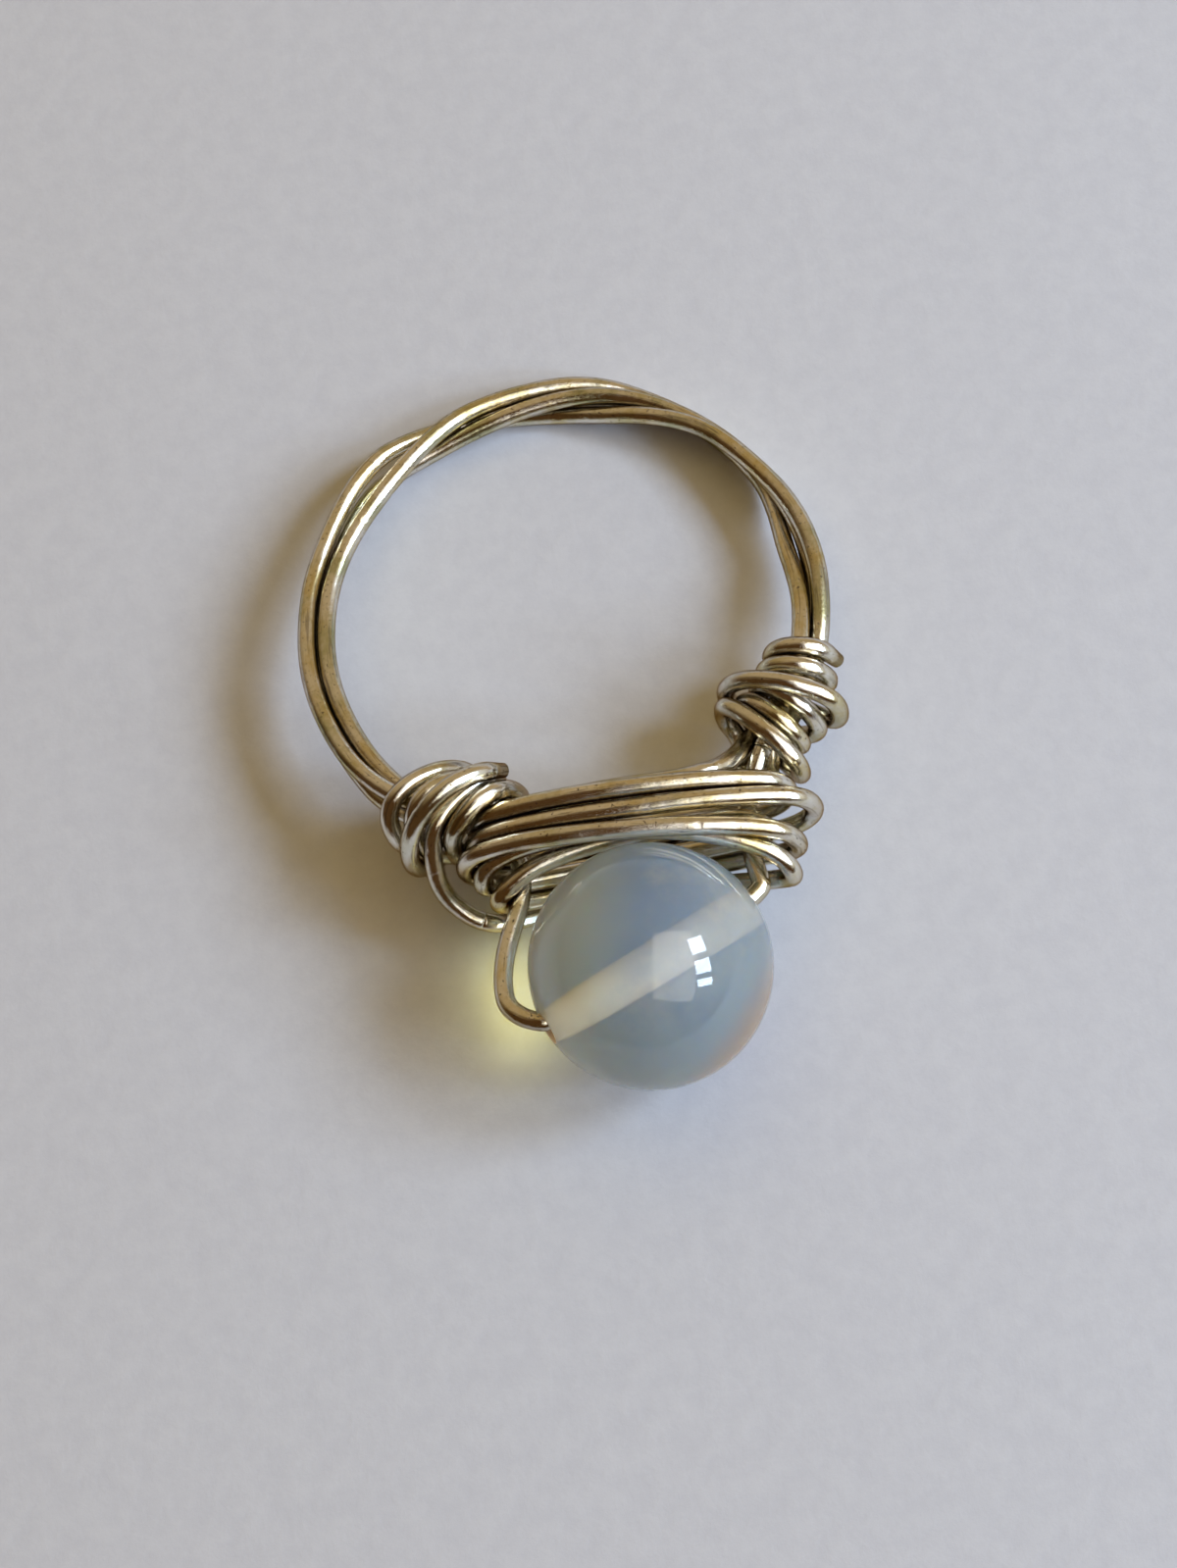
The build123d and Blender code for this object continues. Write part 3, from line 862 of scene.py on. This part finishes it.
# The third number sets how much brown tarnish and painted shade fill the grooves.
band_metal = plated("worn_silver_band", wear=0.05, groove_shade_and_tarnish=0.65, haze=0.8)
coil_metal = plated("worn_silver_coil", wear=0.05, groove_shade_and_tarnish=0.95, haze=0.4)
wrap_metal = plated("worn_silver_wraps", wear=0.0, groove_shade_and_tarnish=0.9, haze=0.4)
metals = {"coil": coil_metal, "bead_wire": coil_metal, "left_wrap": wrap_metal, "right_wrap": wrap_metal}
for node, tube in tubes.items():
    tube.data.materials.append(metals.get(node, band_metal))
print("metal finishes on", len(tubes), "tubes")


# %% [markdown]
# The ball is a polished sphere of milky glass, drilled right through. It is turned from an outline: the arc
# of the sphere, a small worn edge at the mouth, and the straight wall of the hole. Turning it round the
# hole's axis makes one closed skin, hole and all.

# %% The drilled ball
BALL_SIDES = 128
BALL_RINGS = 72
HOLE_RINGS = 14
EDGE_STEPS = 3
MOUTH_EDGE = 0.1 * mm


def ball_outline():
    """Distance along the hole's axis and distance from it, round the whole section."""
    hole = hole_diameter / 2
    shoulder = np.arcsin((hole + MOUTH_EDGE) / ball_radius)
    outline = []
    for k in range(BALL_RINGS + 1):
        angle = shoulder + (pi - 2 * shoulder) * k / BALL_RINGS
        outline.append((-ball_radius * cos(angle), ball_radius * sin(angle)))
    end = sqrt(ball_radius ** 2 - (hole + MOUTH_EDGE) ** 2) - MOUTH_EDGE
    for k in range(1, EDGE_STEPS + 1):
        edge = radians(90 * k / EDGE_STEPS)
        outline.append((end + MOUTH_EDGE * cos(edge), hole + MOUTH_EDGE * (1 - sin(edge))))
    for k in range(1, HOLE_RINGS):
        outline.append((end - 2 * end * k / HOLE_RINGS, hole))
    for k in range(EDGE_STEPS, 0, -1):
        edge = radians(90 * k / EDGE_STEPS)
        outline.append((-end - MOUTH_EDGE * cos(edge), hole + MOUTH_EDGE * (1 - sin(edge))))
    return outline


def turned_ball():
    """The ball as one closed mesh, with the mouths and the hole in the second finish."""
    outline = ball_outline()
    beside = hole_axis.orthogonal().normalized()
    above = hole_axis.cross(beside)
    points = []
    for along, out in outline:
        for k in range(BALL_SIDES):
            angle = 2 * pi * k / BALL_SIDES
            radial = beside * cos(angle) + above * sin(angle)
            points.append(ball_place + hole_axis * along + radial * out)
    faces = []
    rings = len(outline)
    for i in range(rings):
        here, there = i * BALL_SIDES, (i + 1) % rings * BALL_SIDES
        for j in range(BALL_SIDES):
            k = (j + 1) % BALL_SIDES
            faces.append((here + j, here + k, there + k, there + j))
    mesh = bpy.data.meshes.new("glass_ball")
    mesh.from_pydata([tuple(p) for p in points], [], faces)
    mesh.shade_smooth()
    ground = np.zeros(len(faces), np.int32)
    ground[BALL_RINGS * BALL_SIDES:] = 1
    mesh.polygons.foreach_set("material_index", ground)
    made = bpy.data.objects.new("glass_ball", mesh)
    bpy.context.scene.collection.objects.link(made)
    return made


ball = turned_ball()
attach(ball, "bead")
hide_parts("bead")
print("ball faces", len(ball.data.polygons))


# %% [markdown]
# The glass, the window and the room are all described as the photographer saw them: to the picture's right,
# towards its top and back to the camera. So the camera's three directions come first.

# %% The camera's directions, in the ring's own axes
CAMERA_RISE, CAMERA_SWING, CAMERA_ROLL = radians(61.9), radians(2.43), radians(16.9)


def camera_axes():
    """The directions to the camera, to the picture's right and to its top."""
    flat = cos(CAMERA_RISE)
    back = np.array((sin(CAMERA_SWING) * flat, -cos(CAMERA_SWING) * flat, sin(CAMERA_RISE)))
    level = np.array((cos(CAMERA_SWING), sin(CAMERA_SWING), 0.0))
    upright = np.cross(back, level)
    right = cos(CAMERA_ROLL) * level - sin(CAMERA_ROLL) * upright
    top = sin(CAMERA_ROLL) * level + cos(CAMERA_ROLL) * upright
    return back @ ring_axes, right @ ring_axes, top @ ring_axes


to_camera, to_right, to_top = (Vector(v) for v in camera_axes())
print("to camera", [round(v, 3) for v in to_camera])


# %% [markdown]
# Opal glass is full of specks too small to see, which scatter blue light back and let the warm light
# through, as the sky does at noon and at dusk. So it is about three parts clear to one part milk, and the
# milk's colour drifts a little from cloud to cloud. A paler left edge and a warm lower right rim are painted
# light, fixed to the glass. The drill left the wall of the hole ground and pale, and it shows through the
# glass as a pale bar, wider than the hole because the ball is a lens.

# %% Opal glass and the ground hole
MILK_BLUE, MILK_PALE = tone(177, 199, 224), tone(204, 219, 221)
CLOUD_BLUE = tone(161, 188, 228)
VEIL_WHITE = tone(240, 240, 232)
PAINTED_LEFT_LIGHT = tone(244, 254, 238)
PAINTED_WARM_RIM_LIGHT = tone(230, 192, 164)
CLEAR_SHARE = 0.74
SCATTER_DEPTH, SCATTER_SHARES = 9 * mm, (1.0, 0.7, 0.5)
GROUND_DARK, GROUND_PALE = tone(235, 209, 169), tone(242, 219, 184)
PAINTED_HOLE_GLOW, GLOW_STRENGTH = tone(255, 226, 190), 0.06


def opal_glass():
    """Milky glass: blue in the milk, a white veil that fades towards its lower right, and painted light that makes
    it pale on its left and warm on its lower right.
    """
    finish = Finish("opal_glass")
    place = finish.node("ShaderNodeTexCoord", {}, output=OBJECT_PLACE)
    from_middle = finish.node("ShaderNodeVectorMath", {"operation": "SUBTRACT"}, place, tuple(ball_place))

    def toward(direction):
        """How far a point of the ball lies in a direction, in ball radii."""
        return finish.along(from_middle, direction / ball_radius)

    cloud = finish.noise(place, 160.0, 3.0)
    drift = finish.noise(finish.stretched(place, 1.0, 1.0, 1.4), 70.0, 1.0)
    colour = finish.mix(drift.ramp(0.35, 0.65), MILK_BLUE, MILK_PALE)
    colour = finish.mix(cloud.ramp(0.4, 0.75) * 0.5, colour, CLOUD_BLUE)
    veil = finish.noise(place, 240.0, 5.0, 0.65).ramp(0.45, 0.7) * (1 - toward(to_right - to_top).most(0.0))
    colour = finish.mix(veil * 0.45, colour, VEIL_WHITE)
    # Painted light: the glass turns paler towards its left edge and warm along its lower right rim.
    colour = finish.mix(toward(-to_right).ramp(0.05, 0.8), colour, PAINTED_LEFT_LIGHT)
    lower_right = toward(to_right * 0.83 - to_top * 0.55)
    colour = finish.mix(lower_right.ramp(0.62, 0.97), colour, PAINTED_WARM_RIM_LIGHT)
    finish.set(Base_Color=colour, Roughness=0.02, IOR=1.5)
    finish.set(Subsurface_Weight=1.0, Subsurface_Radius=SCATTER_SHARES, Subsurface_Scale=SCATTER_DEPTH)
    finish.set(Transmission_Weight=CLEAR_SHARE)
    return finish.material


def ground_hole():
    """The ground wall of the hole, with a faint painted glow for the light that the milk leads into it."""
    finish = Finish("ground_glass")
    place = finish.node("ShaderNodeTexCoord", {}, output=OBJECT_PLACE)
    grain = finish.noise(place, 2500.0, 4.0)
    finish.set(Base_Color=finish.mix(grain, GROUND_DARK, GROUND_PALE), Roughness=0.7)
    # Painted glow: the wall gives off a little light of its own, though it is no lamp.
    finish.set(Emission_Color=PAINTED_HOLE_GLOW, Emission_Strength=GLOW_STRENGTH)
    return finish.material


ball.data.materials.append(opal_glass())
ball.data.materials.append(ground_hole())
print("ball finishes", [m.name for m in ball.data.materials])


# %% [markdown]
# The ring lies on a sheet of pale paper with fine fibres and faint waves. The sheet is far wider than the
# picture, so that its edge is never seen.

# %% Paper
PAPER_GREY, PAPER_PALE = tone(196, 195, 199), tone(202, 201, 204)
PAPER_RELIEF, PAPER_DEPTH = 0.25, 0.1 * mm
HALF_FLOOR = 2.0


def paper():
    """Pale paper with fibres and faint waves."""
    finish = Finish("paper")
    place = finish.node("ShaderNodeTexCoord", {}, output=OBJECT_PLACE)
    fibre = finish.noise(place, 900.0, 6.0, 0.7)
    waves = finish.noise(place, 22.0, 2.0)
    colour = finish.mix(fibre.ramp(0.3, 0.7), PAPER_GREY, PAPER_PALE)
    relief = finish.bump(fibre + waves * 9.0, PAPER_RELIEF, PAPER_DEPTH)
    finish.set(Base_Color=colour, Roughness=0.85, Normal=relief)
    return finish.material


floor_mesh = bpy.data.meshes.new("paper_floor")
floor_corners = [(x * HALF_FLOOR, y * HALF_FLOOR, 0.0) for x, y in ((-1, -1), (1, -1), (1, 1), (-1, 1))]
floor_mesh.from_pydata(floor_corners, [], [(0, 1, 2, 3)])
floor = bpy.data.objects.new("paper_floor", floor_mesh)
floor_mesh.materials.append(paper())
bpy.context.scene.collection.objects.link(floor)
print("floor", 2 * HALF_FLOOR, "m wide")


# %% [markdown]
# A window on the right, three panes high, throws soft shadows to the left, and a warm ceiling fills them. A
# pale wall lights nothing: it shows only where polish mirrors it, and draws the broad lights on the wire. A
# small lamp beside the ball, hidden from mirrors and camera, stands for the warm light that opal glass lets
# through to the paper. Distances are in metres and powers in watts.

# %% Window, ceiling, wall and glow
PANES = [
    # the pane's middle along the window's height, and its own height
    (0.109, 0.112),
    (-0.036, 0.088),
    (-0.143, 0.052),
]
WINDOW_WAY = (0.745, -0.355, 0.563)     # in the ring's own directions
WINDOW_WIDTH = 0.117
WINDOW_DISTANCE = 0.45
WINDOW_POWER = 2.6
WINDOW_COLOUR = (0.6, 0.76, 1.0)
CEILING_WAY = (0.0, 0.25, 1.0)
CEILING_SIZE, CEILING_DISTANCE = 0.6, 0.6
CEILING_POWER = 0.7
CEILING_COLOUR = (1.0, 0.7, 0.1)
WALL_WAY = (0.36, 0.1, 0.93)            # shares of the picture's right, its top and the way to the camera
WALL_WIDTH, WALL_HEIGHT, WALL_DISTANCE = 0.37, 0.6, 0.5
WALL_POWER = 1.8
WALL_COLOUR = (1.0, 0.97, 0.93)
GLOW_LEFT, GLOW_DOWN, GLOW_LIFT = 5.7 * mm, 1.7 * mm, 1.6 * mm
GLOW_WIDTH, GLOW_HEIGHT = 2.2 * mm, 4.4 * mm
GLOW_POWER = 0.52e-4
GLOW_COLOUR = (1.0, 0.95, 0.28)
AIM_LIFT = 4 * mm                       # the other lights are aimed this high above the paper


def panel(name, place, toward_width, toward_light, sizes, power, colour, seen=True, lights=True):
    """A flat light that faces the ring. Unless seen, nothing mirrors it. Unless it lights, it only shows."""
    light = bpy.data.lights.new(name, "AREA")
    light.shape = "RECTANGLE"
    light.size, light.size_y = sizes
    light.energy = power
    light.color = colour
    made = bpy.data.objects.new(name, light)
    across = toward_width.normalized()
    up = toward_light.cross(across).normalized()
    made.matrix_world = Matrix.Translation(place) @ Matrix((across, up, toward_light)).transposed().to_4x4()
    made.visible_glossy = seen
    made.visible_diffuse = lights
    made.visible_transmission = lights
    bpy.context.scene.collection.objects.link(made)
    return made


middle = Vector((0.0, 0.0, AIM_LIFT))
window = Vector(np.array(WINDOW_WAY) @ ring_axes).normalized()
wide = (to_camera - window * to_camera.dot(window)).normalized()
tall = window.cross(wide)
if tall.dot(to_top) < 0:
    wide, tall = -wide, -tall
pane_area = sum(height for _, height in PANES)
for k, (offset, height) in enumerate(PANES):
    place = middle + window * WINDOW_DISTANCE + tall * offset
    panel(f"window_pane_{k + 1}", place, wide, window, (WINDOW_WIDTH, height),
          WINDOW_POWER * height / pane_area, WINDOW_COLOUR)
overhead = Vector(CEILING_WAY).normalized()
panel("ceiling", middle + overhead * CEILING_DISTANCE, overhead.cross(Vector((1, 0, 0))), overhead,
      (CEILING_SIZE, CEILING_SIZE), CEILING_POWER, CEILING_COLOUR, seen=False)
wall_way = (to_right * WALL_WAY[0] + to_top * WALL_WAY[1] + to_camera * WALL_WAY[2]).normalized()
along_wall = to_right - wall_way * to_right.dot(wall_way)
panel("bright_wall", middle + wall_way * WALL_DISTANCE, along_wall, wall_way,
      (WALL_WIDTH, WALL_HEIGHT), WALL_POWER, WALL_COLOUR, lights=False)
glow_place = ball_place - to_right * GLOW_LEFT - to_top * GLOW_DOWN
glow_place += to_camera * ((GLOW_LIFT - glow_place.z) / to_camera.z)
glow = panel("glow_through_glass", glow_place, Vector((1, 0, 0)), Vector((0, 0, 1)),
             (GLOW_WIDTH, GLOW_HEIGHT), GLOW_POWER, GLOW_COLOUR, seen=False)
glow.visible_camera = False


# %% [markdown]
# Polished wire shows nothing but what is round it. The room behind the photographer is dark, warm where a
# wall catches light and bright round the window, and that draws the wire's stripes.

# %% The room that the wire mirrors
DARK_WALL, WARM_WALL = (0.075, 0.038, 0.014, 1.0), (0.42, 0.31, 0.17, 1.0)
BEHIND_CAMERA = (0.08, 0.037, 0.012, 1.0)
WINDOW_HALO = (0.85, 0.84, 0.8, 1.0)


def room():
    """The room's light from every direction, reckoned from how far each one points to a few places."""
    world = bpy.data.worlds.new("room")
    world.use_nodes = True
    tree = world.node_tree
    tree.nodes.clear()
    nodes = Nodes(tree)
    out = tree.nodes.new("ShaderNodeOutputWorld")
    ahead = nodes.node("ShaderNodeTexCoord", {}, output=GENERATED_PLACE)
    wall = nodes.mix(nodes.along(ahead, to_top).ramp(0.0, 0.75), DARK_WALL, WARM_WALL)
    wall = nodes.mix(nodes.along(ahead, to_camera).ramp(0.72, 0.95), wall, BEHIND_CAMERA)
    colour = nodes.mix(nodes.along(ahead, window).ramp(0.72, 0.96), wall, WINDOW_HALO)
    background = nodes.node("ShaderNodeBackground", {}, colour, 1.0)
    tree.links.new(background.socket, out.inputs["Surface"])
    return world


bpy.context.scene.world = room()
bpy.context.scene.view_settings.view_transform = "Standard"
print("world", bpy.context.scene.world.name)


# %% [markdown]
# The camera stands where the photographer's stood: high above the ring, a little towards the ball, and close
# enough that the near ball looks larger than the far band. Its place was found in the ring's own directions.

# %% Camera
IMAGE_WIDTH, IMAGE_HEIGHT = 1200, 1599
SENSOR = 36.0
CAMERA_DISTANCE = 120 * mm
PIXELS_PER_MM = 23.52
RING_PIXEL = (572.45, 625.2)     # where the picture shows the opening's middle
CLIP_NEAR, CLIP_FAR = 5 * mm, 5.0


def stand_camera():
    """A camera aimed at the opening's middle, with its lens shifted to frame the ring as in the photo."""
    data = bpy.data.cameras.new("camera")
    data.sensor_width = SENSOR
    data.lens = PIXELS_PER_MM * CAMERA_DISTANCE / mm / IMAGE_HEIGHT * SENSOR
    data.shift_x = (IMAGE_WIDTH / 2 - RING_PIXEL[0]) / IMAGE_HEIGHT
    data.shift_y = (RING_PIXEL[1] - IMAGE_HEIGHT / 2) / IMAGE_HEIGHT
    data.clip_start, data.clip_end = CLIP_NEAR, CLIP_FAR
    made = bpy.data.objects.new("camera", data)
    turned = Matrix((to_right, to_top, to_camera)).transposed().to_4x4()
    made.matrix_world = Matrix.Translation(ring_place + to_camera * CAMERA_DISTANCE) @ turned
    bpy.context.scene.collection.objects.link(made)
    bpy.context.scene.camera = made
    return made


camera = stand_camera()
print("camera at", [round(v, 4) for v in camera.location], "lens", round(camera.data.lens, 1), "mm")
